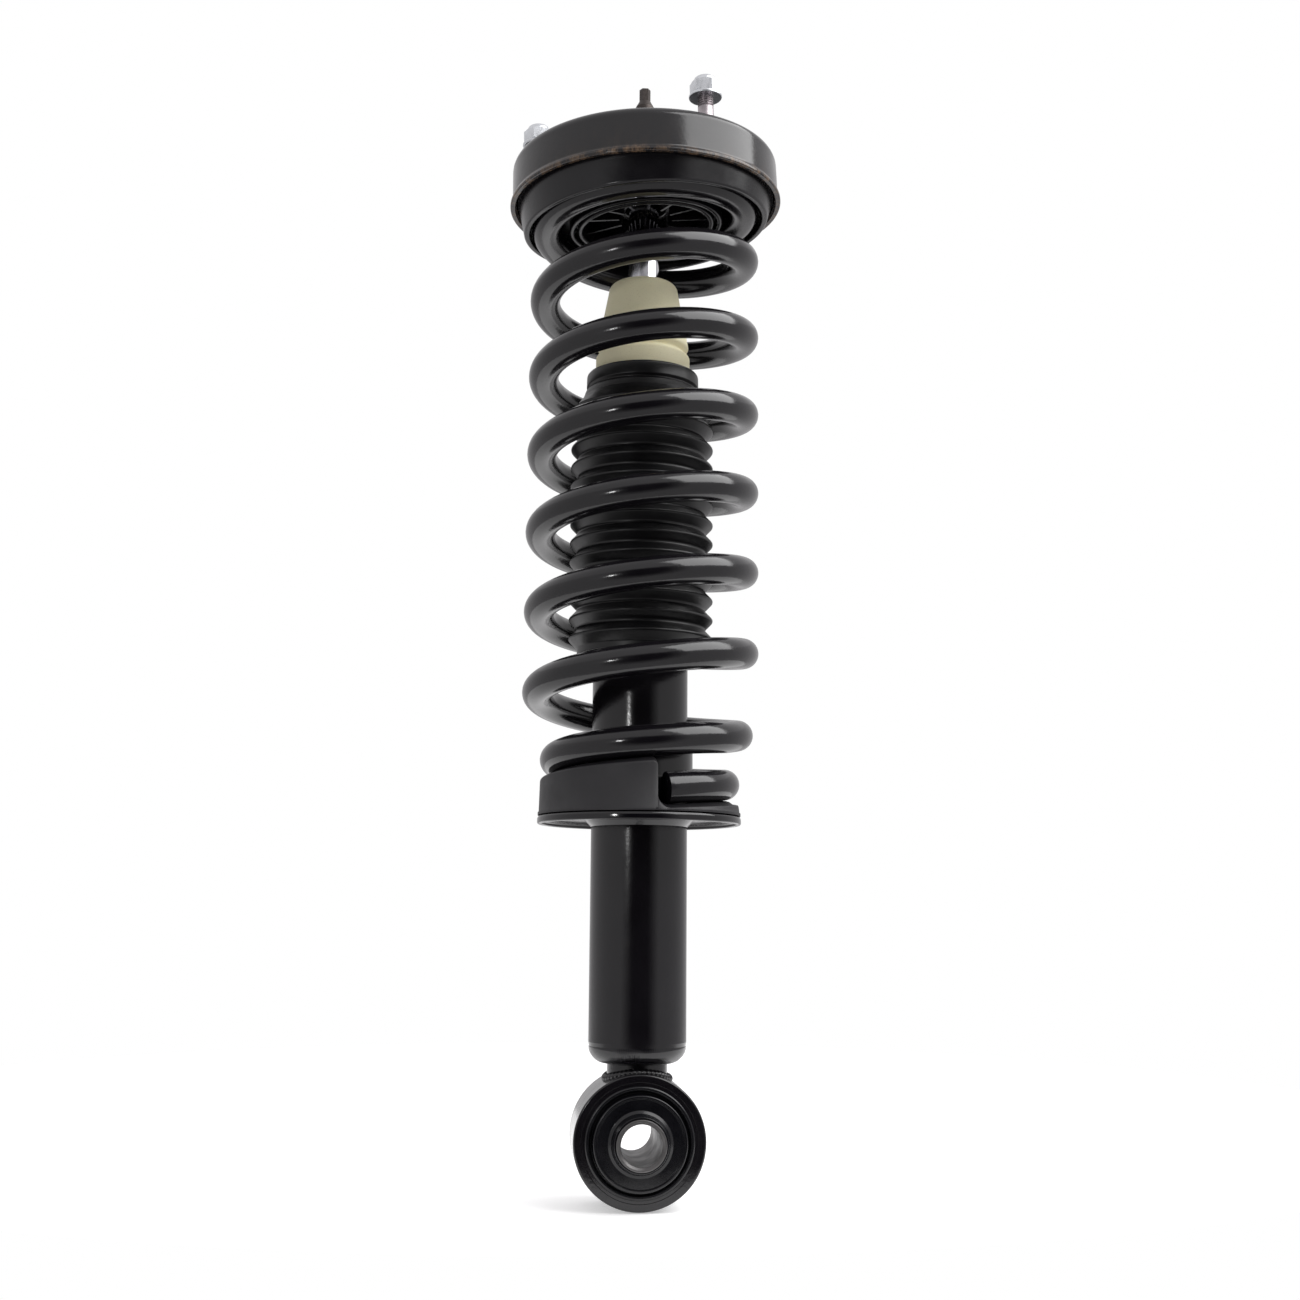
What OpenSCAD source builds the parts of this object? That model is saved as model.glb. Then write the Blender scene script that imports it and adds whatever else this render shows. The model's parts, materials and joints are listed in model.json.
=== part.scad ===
// Coil-over strut assembly for a double wishbone front suspension: a twin-tube
// damper with a rubber bushed eye, a coil spring between two seats, a foam
// bumper with a dust boot, and a three-stud rubber top mount.
// The origin is the centre of the eye's bore. +Z runs up the damper, and +Y
// runs along the bore.

/* [Lower eye] */
// Outside diameter of the eye ring
eye_d = 79.5; // [72:0.5:96]
// Width of the eye ring along its bore
eye_w = 52; // [40:1:60]
// Wall of the eye ring
eye_wall = 5; // [4:0.5:6]
// Bore of the inner sleeve
sleeve_bore = 24.5; // [18:0.5:29.5]
// Wall of the inner sleeve
sleeve_wall = 2.75; // [2:0.25:3.5]
// Length of the inner sleeve
sleeve_len = 80; // [66:1:96]
// Chamfer at both ends of the sleeve's bore
sleeve_chamfer = 1.5; // [0.5:0.25:1.75]
// How far the rubber faces stand out of the ring
rubber_proud = 6; // [2:0.5:7]
// Diameter of the neck between the eye and the damper
neck_d = 37; // [30:1:44]

/* [Damper] */
// Outside diameter of the damper tube
tube_d = 60; // [54:1:64]
// Wall of the damper tube
tube_wall = 2.2; // [1.8:0.1:3]
// Gap between the eye ring and the damper's flat bottom
base_gap = 4.25; // [4:0.25:12]
// Height of the damper's top edge above the eye centre
tube_top_z = 376; // [340:1:380]
// Bore of the inner pressure tube
bore_d = 36; // [34:1:38]
// Diameter of the piston rod
rod_d = 20; // [18:1:22]
// Diameter of the rod's threaded top end
rod_thread_d = 12; // [10:1:13]
// Full stroke of the rod
stroke = 140; // [110:1:150]
// Height of the rod's tip above the cap's flat top
rod_out = 54; // [50:1:70]

/* [Spring] */
// Diameter of the spring's wire
wire_d = 19.25; // [16:0.25:20]
// Mean diameter of the spring's open coils
spring_d = 130; // [126:1:134]
// Mean diameter of the lowest coil
spring_low_d = 106; // [103:1:110]
// Rise of the lowest coil in one turn
closed_pitch = 29; // [24:0.5:32]
// Rise of the highest coil in one turn
top_pitch = 20.5; // [20.5:0.5:26]
// Turns of closed coil at the bottom
low_turns = 1.12; // [1:0.01:1.3]
// Turns of closed coil at the top
top_turns = 0.83; // [0.8:0.01:1.2]
// Turns of open coil between the closed ends
open_turns = 6.52; // [5:0.01:7]
// Direction in which the wire's lower end lies
spring_start = -77; // [-90:1:-60]

/* [Lower seat] */
// Height of the spring plate's upper face above the eye centre
perch_z = 194.5; // [185:0.5:200]
// How far the spring plate stands out past the lowest coil
perch_edge = 1; // [0.5:0.25:4]
// Thickness of the spring plate
perch_t = 3; // [2.5:0.5:4]
// Height of the plate's rolled down rim
perch_rim_h = 5.5; // [5:0.5:10]
// Rubber under the wire's lower end
pad_t = 4.5; // [4:0.5:10]
// Gap between the plate's collar and the rubber
pad_room = 4.6; // [3:0.2:6]

/* [Bumper and boot] */
// Length of the foam bumper
bumper_len = 81.2; // [70:0.1:86]
// Diameter of the bumper's broad end
bumper_d = 61; // [56:1:64]
// Diameter of the bumper's narrow end
bumper_nose_d = 42; // [38:1:48]
// Gap from the bumper up to the mount, with the damper at full length
bumper_gap = 52; // [44:0.5:60]
// Gap between the striker cap and the boot's folds
boot_room = 7.2; // [4:0.2:8]
// Depth of the boot's folds
fold_depth = 6; // [4:0.5:7]
// Number of folds
folds = 13; // [8:1:14]
// Height of one fold
fold_h = 12.4; // [9:0.1:12.6]
// Wall of the boot
boot_wall = 1.6; // [1:0.1:2]

/* [Top mount] */
// Lean of the mount, which the spring's uneven push gives it
mount_lean = 1.8; // [0:0.1:2.5]
// Thickness of the spring housing's outer wall
housing_wall = 7.775; // [6:0.025:12]
// Depth of the cap
cap_h = 31; // [27:1:34]
// Sheet thickness of the cap
cap_t = 3; // [2.5:0.5:4]
// How far the cap's lip flares out
lip_flare = 1.7; // [1:0.1:2.5]
// Depth of the spring housing below the cap's top, at its axis
housing_depth = 45; // [43:0.5:54]
// Slant of the housing's lower edge
rim_slant = 3.3; // [0:0.1:4]
// Direction in which the housing's lower edge rises
rim_turn = 20; // [0:1:359]
// Depth of the hub, which the bumper meets, below the cap's top
hub_depth = 32; // [28:1:36]
// Height of the raised middle of the cap
hat_h = 18; // [15:1:22]

/* [Studs] */
// Distance from the cap's skirt in to a stud's axis
stud_inset = 17.6; // [14:0.1:24]
// Number of studs
stud_count = 3; // [2:1:6]
// Diameter of a stud
stud_d = 10; // [8:1:12]
// Height of a stud above the cap
stud_h = 28; // [27:1:40]
// Direction of the first stud
stud_angle = -61; // [-80:1:-50]
// Width across the flats of a stud nut
nut_af = 17; // [13:1:19]

/* [Hidden] */
$fn = 96;
eps = 0.01;
slip = 0.03;        // radial clearance of a running fit
soft_gap = 0.3;     // gap left beside a soft or curved face on another body

// Lower eye
eye_r = eye_d / 2;
base_z = eye_r + base_gap;
sleeve_r = sleeve_bore / 2 + sleeve_wall;
outer_sleeve_t = 1.8;
rubber_r = eye_r - eye_wall - outer_sleeve_t;
bead_w = 3;
groove_depth = 2.5;

// Damper
tube_r = tube_d / 2;
tube_in = tube_r - tube_wall;
dome_h = 13;
dome_z = base_z + dome_h;
base_t = 4;
base_weld_r = 1.7;
roll_in = 13;
pressure_wall = 2.5;
bore_r = bore_d / 2;
rod_r = rod_d / 2;
foot_z = dome_z + 4;
foot_h = 8;
spigot_h = 10;
seal_h = 7;
guide_h = 16;
bush_wall = 2;
seal_top = tube_top_z - tube_wall;
guide_top = seal_top - seal_h;
guide_low = guide_top - guide_h;
spigot_low = guide_low - spigot_h;
striker_t = 3;
striker_wall = 1.6;
striker_skirt = 18;
striker_top = tube_top_z + striker_t;
rod_hole_r = rod_r + 3;      // holes that the rod passes with room to lean

// Piston, from the rebound stop down
post_d = 12;
stop_h = 12;
stop_to_piston = 14;
stop_r = bore_r - 3;
stop_top = spigot_low - 0.2;
post_top = stop_top - stop_h - stop_to_piston;
disc_t = 3;
piston_h = 15;
piston_nut_h = 8;
piston_top = post_top - disc_t;
piston_low = piston_top - piston_h;
post_low = piston_low - disc_t - piston_nut_h - 3;

// Lower seat
collar_h = 42;
collar_t = 3.4;
plate_weld_r = 3;
pad_in = tube_r + collar_t + pad_room;
pad_lip = 2.8;      // how far the pad's outer edge lies below the wire

// Spring, measured along its turns from the lower end
wire_r = wire_d / 2;
low_end = low_turns * 360;
open_end = low_end + open_turns * 360;
top_end = open_end + top_turns * 360;
grow_turns = 0.55;   // turns over which the lowest coil widens
wire_low_z = perch_z + pad_t + wire_r;
perch_r = spring_low_d / 2 + wire_r + perch_edge;

// Bumper and boot, with the damper at full length. The bumper slides on the rod:
// it keeps this share of the stroke, and meets the striker cap at its end.
bumper_share = 0.43;
striker_room = 2;
bumper_low = striker_top + striker_room + (1 - bumper_share) * stroke;
bumper_top = bumper_low + bumper_len;
bumper_r = bumper_d / 2;
nose_r = bumper_nose_d / 2;
collar_len = 20;
boot_collar_r = bumper_r + 6.5;
boot_top = bumper_low + collar_len;
boot_r = tube_r + striker_wall + boot_room + boot_wall + fold_depth;

// Top mount
boss_z = bumper_top + bumper_gap;
mount_z = boss_z + hub_depth;
core_r = 18;
core_h = 22;
washer_t = 3;
lower_washer_r = 15;
washer_room = lower_washer_r + 2.5;
upper_washer_r = 20;
rod_shoulder = mount_z - core_h / 2 - washer_t;
rod_nut_h = 12;
rod_nut_af = 19;
rod_tip_h = 8.5;
rod_tip_af = 6.4;
rod_end = mount_z + rod_out;
corner_r = 6;
lip_z = mount_z - cap_h;
hat_r = 36;
hat_hole = 24;
housing_z = mount_z - housing_depth;
channel_out = spring_d / 2 + wire_r + 2.2;
channel_in = spring_d / 2 - wire_r - 5;
cap_in = channel_out + housing_wall;
cap_r = cap_in + cap_t;
rib_wall = 3.2;     // thickness of the two rims inside the channel
hub_lip_r = channel_in - 8.7;
ceiling_z = mount_z - 15.1;
cup_t = 3;           // thinnest rubber over the wire
web_t = 3;
hub_r = 18;
rib_drop = 6;        // how far the ribs hang below the hub
rib_count = 12;
seat_gap = 1.9;      // room for the mount to rock over the spring

// Studs and nuts
stud_r = stud_d / 2;
stud_ring_r = cap_r - stud_inset;
thread_r = stud_r - 0.4;
knurl_r = stud_r + 0.2;
shank_h = 11.5;
stud_washer_d = 21;
stud_washer_t = 2;
nut_h = 8.5;
nut_lifts = [17.5, 14, 13];
nut_crown_h = 3.2;

// Points of an arc about (x, z), from one angle to another
function arc(x, z, r, from, to, steps = 8) =
  [for (i = [0 : steps]) let (a = from + (to - from) * i / steps)
    [x + r * cos(a), z + r * sin(a)]];

// A solid of revolution about Y, from an outline of radius and Y
module turned_y() {
  rotate([-90, 0, 0]) rotate_extrude() children();
}

// Everything on the mount leans about the rod at the cap's top
module leaned() {
  translate([0, 0, mount_z]) rotate([0, -mount_lean, 0])
    translate([0, 0, -mount_z]) children();
}

// A hexagon of a given width across its flats
module hexagon(af) {
  circle(d = af / cos(30), $fn = 6);
}

// A flat ring standing on z
module ring(outer_r, inner_r, z, h) {
  translate([0, 0, z]) difference() {
    cylinder(r = outer_r, h = h);
    translate([0, 0, -1]) cylinder(r = inner_r, h = h + 2);
  }
}

// A closed surface through rings of points, with a cap on each end
module skin(rings) {
  n = len(rings[0]);
  last = len(rings) - 1;
  polyhedron(
    points = [for (r = rings) each r],
    faces = concat(
      [[for (i = [0 : n - 1]) i]],
      [for (j = [0 : last - 1], i = [0 : n - 1])
        [j * n + i, (j + 1) * n + i, (j + 1) * n + (i + 1) % n, j * n + (i + 1) % n]],
      [[for (i = [n - 1 : -1 : 0]) last * n + i]]
    ),
    convexity = 10
  );
}

// ---------- Spring's shape ----------

// Smooth step from 0 to 1
function ease(t) = let (c = min(1, max(0, t))) c * c * (3 - 2 * c);

// Mean radius of the coil at an angle along the wire
function coil_r(a) = let (low = spring_low_d / 2, open = spring_d / 2)
  low + (open - low) * ease((a - low_end + grow_turns * 180) / (grow_turns * 360));

// Pitch of the open coils, from what the closed ones leave
wire_top_z = ceiling_z - cup_t - seat_gap - wire_r;
open_rise = wire_top_z - wire_low_z - closed_pitch * low_turns - top_pitch * top_turns;
open_pitch = open_rise / open_turns;

// Height of the wire's centre at an angle along the wire
function coil_z(a) = wire_low_z
  + closed_pitch * min(a, low_end) / 360
  + open_pitch * max(0, min(a, open_end) - low_end) / 360
  + top_pitch * max(0, a - open_end) / 360;

// Slope of a coil at a height, from level at the bottom to the mount's lean at the top
function lean_at(z) = tan(mount_lean) * (z - wire_low_z) / (wire_top_z - wire_low_z);

// Centre of the wire, which moves aside with the leaning mount
function coil_point(a) = let (
    x = coil_r(a) * cos(a + spring_start), z = coil_z(a), aside = mount_z - wire_top_z
  ) [x + aside * lean_at(z), coil_r(a) * sin(a + spring_start), z + x * lean_at(z)];

// Ring of points round the wire
wire_sides = 12;
function wire_ring(a) = let (
    c = coil_point(a), az = a + spring_start,
    t = coil_point(a + 0.5) - coil_point(a - 0.5), u = t / norm(t),
    out = [cos(az), sin(az), 0], side = out - (out * u) * u, s = side / norm(side),
    up = cross(s, u)
  ) [for (i = [0 : wire_sides - 1]) let (b = i * 360 / wire_sides)
      c + wire_r * (cos(b) * s + sin(b) * up)];

// ---------- Lower eye ----------

module inner_sleeve() {
  half = sleeve_len / 2;
  bore = sleeve_bore / 2;
  color("dimgray") turned_y() polygon([
    [bore, -half + sleeve_chamfer], [bore + sleeve_chamfer, -half],
    [sleeve_r - 0.5, -half], [sleeve_r, -half + 0.5],
    [sleeve_r, half - 0.5], [sleeve_r - 0.5, half],
    [bore + sleeve_chamfer, half], [bore, half - sleeve_chamfer]
  ]);
}

module eye_ring() {
  inner = eye_r - eye_wall;
  edge = 1.2;
  half = eye_w / 2;
  color("black") turned_y() polygon([
    [inner, -half], [eye_r - edge, -half], [eye_r, -half + edge],
    [eye_r, half - edge], [eye_r - edge, half], [inner, half]
  ]);
}

module outer_sleeve() {
  color("black") rotate([-90, 0, 0])
    ring(eye_r - eye_wall, rubber_r, -eye_w / 2, eye_w);
}

// One half of the rubber's outline, from the outer sleeve to the inner one
function rubber_edge() = let (
    face = eye_w / 2 + rubber_proud, rim = rubber_r - bead_w, nose = sleeve_r + 3
  ) concat(
    [[rubber_r, eye_w / 2 - 1]],
    arc(rubber_r - bead_w / 2, eye_w / 2 - 1 + groove_depth, bead_w / 2, 0, 180, 6),
    [[rim, eye_w / 2 - 1], [rim - 1, face - 1], [rim - 2.2, face],
     [nose, face], [sleeve_r + 1, sleeve_len / 2 - 2], [sleeve_r + slip, sleeve_len / 2 - 2]]
  );

module bush_rubber() {
  upper = rubber_edge();
  lower = [for (i = [len(upper) - 1 : -1 : 0]) [upper[i][0], -upper[i][1]]];
  color("black") turned_y() polygon(concat(upper, lower));
}

module neck() {
  color("black") difference() {
    cylinder(d = neck_d, h = base_z);
    rotate([90, 0, 0]) cylinder(r = eye_r, h = 2 * neck_d, center = true);
  }
}

module eye_weld() {
  spread = 4.5;
  weld_top = base_z - 2;
  color("black") difference() {
    cylinder(r1 = neck_d / 2 + 3 * spread, r2 = neck_d / 2, h = weld_top);
    translate([0, 0, -1]) cylinder(d = neck_d, h = weld_top + 2);
    rotate([90, 0, 0]) cylinder(r = eye_r, h = 2 * neck_d + 40, center = true);
    translate([0, 0, -1]) difference() {
      cylinder(r = 2 * neck_d, h = weld_top + 2);
      translate([0, 0, -1]) cylinder(r = neck_d / 2 + spread, h = weld_top + 4);
    }
  }
}

// ---------- Damper ----------

// Outline of the rounded bottom, as radius and height
function dome_edge() = arc(tube_r - dome_h, dome_z, dome_h, -90, 0);

module base_cap() {
  lip = 4;
  color("black") rotate_extrude() difference() {
    polygon(concat(
      [[0, base_z]], dome_edge(), [[tube_r, dome_z + lip]],
      [[tube_r - base_t, dome_z + lip], [tube_r - base_t, dome_z]],
      arc(tube_r - dome_h, dome_z, dome_h - base_t, 0, -90),
      [[0, base_z + base_t]]
    ));
    base_weld_edge();
  }
}

// The weld's cross-section, half sunk in the rounded bottom
module base_weld_edge() {
  translate([tube_r - dome_h + dome_h * cos(40), dome_z - dome_h * sin(40)])
    circle(r = base_weld_r);
}

module base_weld() {
  color("black") rotate_extrude() base_weld_edge();
}

module damper_tube() {
  turn = 4;
  color("black") rotate_extrude() polygon([
    [tube_in, dome_z + 4], [tube_r, dome_z + 4],
    [tube_r, tube_top_z - turn], [tube_r - turn, tube_top_z],
    [tube_r - roll_in, tube_top_z], [tube_r - roll_in, seal_top],
    [tube_in - turn + tube_wall, seal_top], [tube_in, seal_top - turn + tube_wall]
  ]);
}

module pressure_tube() {
  color("silver") ring(bore_r + pressure_wall, bore_r, foot_z + foot_h, guide_low - foot_z - foot_h);
}

module foot_valve() {
  port_r = 2.5;
  foot_leg_r = 12;
  low = foot_z + 0.5;
  leg_low = base_z + base_t + 1;
  outlet_out = tube_in - 0.7;
  outlet_r = (outlet_out - bore_r - pressure_wall) / 4;
  port_h = 2 * (foot_h + spigot_h);
  color("goldenrod") difference() {
    union() {
      translate([0, 0, low]) cylinder(r = tube_in, h = foot_h - 0.5);
      translate([0, 0, foot_z + foot_h]) cylinder(r = bore_r, h = spigot_h);
      translate([0, 0, leg_low]) cylinder(r = foot_leg_r, h = low - leg_low + 1);
    }
    for (a = [0 : 60 : 300])
      rotate([0, 0, a]) translate([(bore_r + post_d / 2) / 2, 0, foot_z + foot_h])
        cylinder(r = port_r, h = port_h, center = true);
    for (a = [30 : 60 : 330])
      rotate([0, 0, a]) translate([outlet_out - 2 * outlet_r, 0, foot_z + foot_h])
        cylinder(r = outlet_r, h = port_h, center = true);
  }
}

module rod_guide() {
  color("dimgray") rotate_extrude() polygon([
    [rod_r + bush_wall, spigot_low], [bore_r, spigot_low], [bore_r, guide_low],
    [tube_in, guide_low], [tube_in, guide_top], [rod_r + bush_wall, guide_top]
  ]);
}

module guide_bush() {
  color("darkgoldenrod")
    ring(rod_r + bush_wall, rod_r + slip, spigot_low + 1, guide_top - spigot_low - 1);
}

module oil_seal() {
  lip_h = 2.5;
  color("black") rotate_extrude() polygon([
    [rod_r + bush_wall + 1, guide_top], [tube_in - 2, guide_top], [tube_in - 2, seal_top],
    [rod_hole_r, seal_top], [rod_r + slip, seal_top - 0.5],
    [rod_r + slip, seal_top - lip_h], [rod_r + bush_wall + 1, seal_top - lip_h - 2]
  ]);
}

module striker_cap() {
  skirt_low = tube_top_z - striker_skirt;
  color("dimgray") rotate_extrude() polygon([
    [tube_r, skirt_low], [tube_r + striker_wall, skirt_low], [tube_r + striker_wall, tube_top_z],
    [tube_r - 1, striker_top], [rod_hole_r, striker_top],
    [rod_hole_r, tube_top_z], [tube_r, tube_top_z]
  ]);
}

module piston_rod() {
  tip_low = rod_end - rod_tip_h;
  neck_z = tip_low - 4;
  thread_r = rod_thread_d / 2;
  color("gainsboro") union() {
    rotate_extrude() polygon([
      [0, post_low], [post_d / 2 - 1, post_low], [post_d / 2, post_low + 1],
      [post_d / 2, post_top], [rod_r, post_top], [rod_r, rod_shoulder],
      [thread_r, rod_shoulder], [thread_r, neck_z],
      [rod_tip_af / 2 + 0.6, tip_low], [0, tip_low]
    ]);
    translate([0, 0, tip_low - eps]) linear_extrude(rod_tip_h + eps)
      hexagon(rod_tip_af);
  }
}

module piston() {
  port_r = 2;
  color("gray") difference() {
    ring(bore_r - slip, post_d / 2, piston_low, piston_h);
    ring(bore_r + 1, bore_r - 1.5, piston_low + 4, piston_h - 8);
    for (a = [0 : 45 : 315])
      rotate([0, 0, a]) translate([bore_r * 0.6, 0, piston_low - 1])
        cylinder(r = port_r, h = piston_h + 2);
  }
}

module piston_ring() {
  color("saddlebrown") ring(bore_r - slip / 2, bore_r - 1.5, piston_low + 4, piston_h - 8);
}

module bump_discs() {
  color("silver") for (i = [0 : 2])
    ring(bore_r * 0.85 - 3 * i, post_d / 2, piston_top + i, 1);
}

module rebound_discs() {
  color("silver") for (i = [0 : 2])
    ring(bore_r * 0.85 - 3 * i, post_d / 2, piston_low - 1 - i, 1);
}

module piston_nut() {
  color("silver") translate([0, 0, piston_low - disc_t - piston_nut_h])
    difference() {
      linear_extrude(piston_nut_h) hexagon(post_d * 1.5);
      translate([0, 0, -1]) cylinder(d = post_d, h = piston_nut_h + 2);
    }
}

module rebound_stop() {
  color("orange") rotate_extrude() polygon([
    [rod_r, stop_top - stop_h], [stop_r - 2, stop_top - stop_h],
    [stop_r, stop_top - stop_h + 2], [stop_r, stop_top - 2],
    [stop_r - 2, stop_top], [rod_r, stop_top]
  ]);
}

// ---------- Lower seat and spring ----------

module spring_plate() {
  low = perch_z - perch_t;
  bend = 2;
  color("black") rotate_extrude() polygon([
    [tube_r, low], [perch_r - perch_t, low], [perch_r - perch_t, perch_z - perch_rim_h],
    [perch_r, perch_z - perch_rim_h], [perch_r, perch_z - bend], [perch_r - bend, perch_z],
    [tube_r + collar_t + bend, perch_z], [tube_r + collar_t, perch_z + bend],
    [tube_r + collar_t, perch_z + collar_h - 1], [tube_r + collar_t - 1, perch_z + collar_h],
    [tube_r, perch_z + collar_h]
  ]);
}

module plate_weld() {
  top = perch_z - perch_t;
  color("black") rotate_extrude() polygon([
    [tube_r, top - plate_weld_r * 1.3], [tube_r + plate_weld_r * 0.7, top - plate_weld_r * 0.6],
    [tube_r + plate_weld_r * 1.3, top], [tube_r, top]
  ]);
}

// Cross-section of the lower rubber at an angle along the wire, as radius and height
function pad_edge(a) = let (
    under = coil_z(a) - wire_r, mid = coil_r(a), lip = under - pad_lip, low = perch_z
  ) [
    [pad_in, low], [perch_r - 0.5, low], [perch_r - 1.5, lip], [perch_r - 3, lip + 0.6],
    [mid + 3.2, under - 0.2], [mid, under - 0.4], [mid - 3.2, under - 0.2], [pad_in + 1, lip + 2]
  ];

function spun(edge, az) = [for (p = edge) [p[0] * cos(az), p[0] * sin(az), p[1]]];

pad_sweep = 351;

module lower_isolator() {
  steps = 48;
  color("dimgray") skin([for (i = [0 : steps]) let (a = i * pad_sweep / steps)
    spun(pad_edge(a), a + spring_start)]);
}

module coil_spring() {
  step = 12;
  count = ceil(top_end / step);
  color("black") skin([for (i = [0 : count]) wire_ring(i * top_end / count)]);
}

// ---------- Bumper and boot ----------

module foam_bumper() {
  bore = rod_r + soft_gap;
  ring_top = boot_top + 13;
  cone_low = ring_top + 7;
  shoulder = bumper_top - 5;
  color("beige") rotate_extrude() polygon(concat(
    [[bore, bumper_low], [bumper_r - 1, bumper_low], [bumper_r - 1, boot_top]],
    arc(bumper_r - 2, boot_top + 2, 2, -60, 0, 3),
    arc(bumper_r - 3, ring_top - 3, 3, 0, 90, 4),
    arc(bumper_r - 2, ring_top + 2.5, 2.5, 210, 150, 4),
    [[bumper_r - 0.6, cone_low]],
    arc(nose_r - 5, shoulder, 5, 12, 90, 5),
    [[bore, bumper_top]]
  ));
}

// Outline of the boot's outer wall, from the collar down
function boot_wave(shift) = [for (i = [0 : folds * 2])
  [boot_r - shift - (i % 2 == 0 ? fold_depth : 0), bumper_low - i * fold_h / 2]];

module dust_boot() {
  outer = boot_wave(0);
  inner = boot_wave(boot_wall);
  low = len(outer) - 1;
  hem = outer[low][1] - 4;
  color("black") rotate_extrude() polygon(concat(
    [[bumper_r - 1, boot_top - 2]],
    arc(boot_collar_r - 2, boot_top - 2, 2, 90, 0, 4),
    [[boot_collar_r, bumper_low + 3]],
    outer,
    [[outer[low][0], hem], [inner[low][0], hem]],
    [for (i = [low : -1 : 0]) inner[i]],
    [[boot_collar_r - 2.5, bumper_low], [bumper_r - 1, bumper_low]]
  ));
}

// ---------- Top mount ----------

module mount_core() {
  color("silver") difference() {
    intersection() {
      translate([0, 0, mount_z]) sphere(r = core_r);
      translate([0, 0, mount_z - core_h / 2]) cylinder(r = core_r + 1, h = core_h);
    }
    translate([0, 0, mount_z - core_h]) cylinder(d = rod_thread_d, h = 2 * core_h);
  }
}

module lower_washer() {
  color("silver") ring(lower_washer_r, rod_thread_d / 2, rod_shoulder, washer_t);
}

module upper_washer() {
  color("silver") ring(upper_washer_r, rod_thread_d / 2, mount_z + core_h / 2, washer_t);
}

module rod_nut() {
  color("silver") translate([0, 0, mount_z + core_h / 2 + washer_t]) difference() {
    intersection() {
      linear_extrude(rod_nut_h) hexagon(rod_nut_af);
      cylinder(r1 = rod_nut_af / 2 + rod_nut_h, r2 = rod_nut_af / 2, h = rod_nut_h);
    }
    translate([0, 0, -1]) cylinder(d = rod_thread_d, h = rod_nut_h + 2);
  }
}

// The cap's outline, pressed from sheet, with room for the nut in its raised middle
function cap_outline() = let (
    hat_z = mount_z + hat_h, foot = hat_r + 6
  ) concat(
    [[cap_in, lip_z + 3.5], [cap_in + 1.2, lip_z], [cap_r + lip_flare, lip_z],
     [cap_r + lip_flare, lip_z + 1.5], [cap_r, lip_z + 4]],
    arc(cap_r - corner_r, mount_z - corner_r, corner_r, 0, 90, 6),
    [[foot, mount_z], [hat_r + 2, mount_z + 4]],
    arc(hat_r - 4, hat_z - 4, 4, 10, 90, 4),
    [[hat_hole, hat_z], [hat_hole, hat_z - cap_t]],
    arc(hat_r - 4, hat_z - 4 - cap_t / 4, 2, 90, 10, 3),
    [[hat_r + 2 - cap_t, mount_z + 2], [foot - 1, mount_z - cap_t]],
    arc(cap_r - corner_r, mount_z - corner_r, corner_r - cap_t, 90, 0, 4)
  );

module mount_cap() {
  color("black") leaned() difference() {
    rotate_extrude() polygon(cap_outline());
    for (i = [0 : stud_count - 1])
      rotate([0, 0, stud_angle + i * 360 / stud_count])
        translate([stud_ring_r, 0, mount_z - 2 * cap_t]) cylinder(r = knurl_r, h = 3 * cap_t);
  }
}

module mount_rubber() {
  low = ceiling_z + web_t;
  room_z = rod_shoulder + washer_t + 2;
  color("black") leaned() difference() {
    rotate_extrude() difference() {
      polygon([
        [washer_room, low], [cap_in, low], [cap_in, mount_z - corner_r],
        [cap_r - corner_r, mount_z - cap_t - 2], [hat_r + 5, mount_z - cap_t - 2],
        [hat_r - cap_t - 1, mount_z + 2], [hat_r - cap_t - 2, mount_z + core_h / 2 - 2.5],
        [core_r - 6, mount_z + core_h / 2 - 2.5], [core_r - 6, room_z], [washer_room, room_z]
      ]);
      translate([0, mount_z]) circle(r = core_r + soft_gap);
    }
    for (i = [0 : stud_count - 1])
      rotate([0, 0, stud_angle + i * 360 / stud_count])
        translate([stud_ring_r, 0, mount_z - 3 * cap_t]) cylinder(r = stud_r * 2, h = 3 * cap_t);
  }
}

// The housing's outline before its lower edge is cut: a tapered outer wall, a channel
// for the spring, two rims, and a hub
function housing_outline() = let (
    low = housing_z - cap_in * tan(rim_slant) - 1, top = ceiling_z + web_t,
    rim_out = 2.8, groove_z = housing_z + 8, hub_top = rod_shoulder - 2
  ) [
    [cap_in, top], [cap_in, lip_z], [channel_out + rim_out, low],
    [channel_out, low], [channel_out, ceiling_z], [channel_in, ceiling_z], [channel_in, low],
    [channel_in - rib_wall, low], [channel_in - rib_wall, groove_z],
    [hub_lip_r + rib_wall, groove_z], [hub_lip_r + rib_wall, low], [hub_lip_r, low],
    [hub_lip_r, ceiling_z - 8], [hub_r, ceiling_z - 8], [hub_r, boss_z],
    [rod_hole_r, boss_z], [rod_hole_r, hub_top], [washer_room, hub_top], [washer_room, top]
  ];

module spring_housing() {
  rib_t = 3;
  rib_z = boss_z - rib_drop;
  cut_h = 30;
  color("black") leaned() difference() {
    union() {
      rotate_extrude() polygon(housing_outline());
      for (i = [0 : rib_count - 1])
        rotate([0, 0, i * 360 / rib_count]) translate([hub_r - 1, -rib_t / 2, rib_z])
          cube([hub_lip_r - hub_r + 2, rib_t, ceiling_z - 7 - rib_z]);
    }
    translate([0, 0, housing_z]) rotate([0, 0, rim_turn]) rotate([0, -rim_slant, 0])
      translate([0, 0, -cut_h]) cylinder(r = 2 * cap_in, h = cut_h);
  }
}

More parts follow.
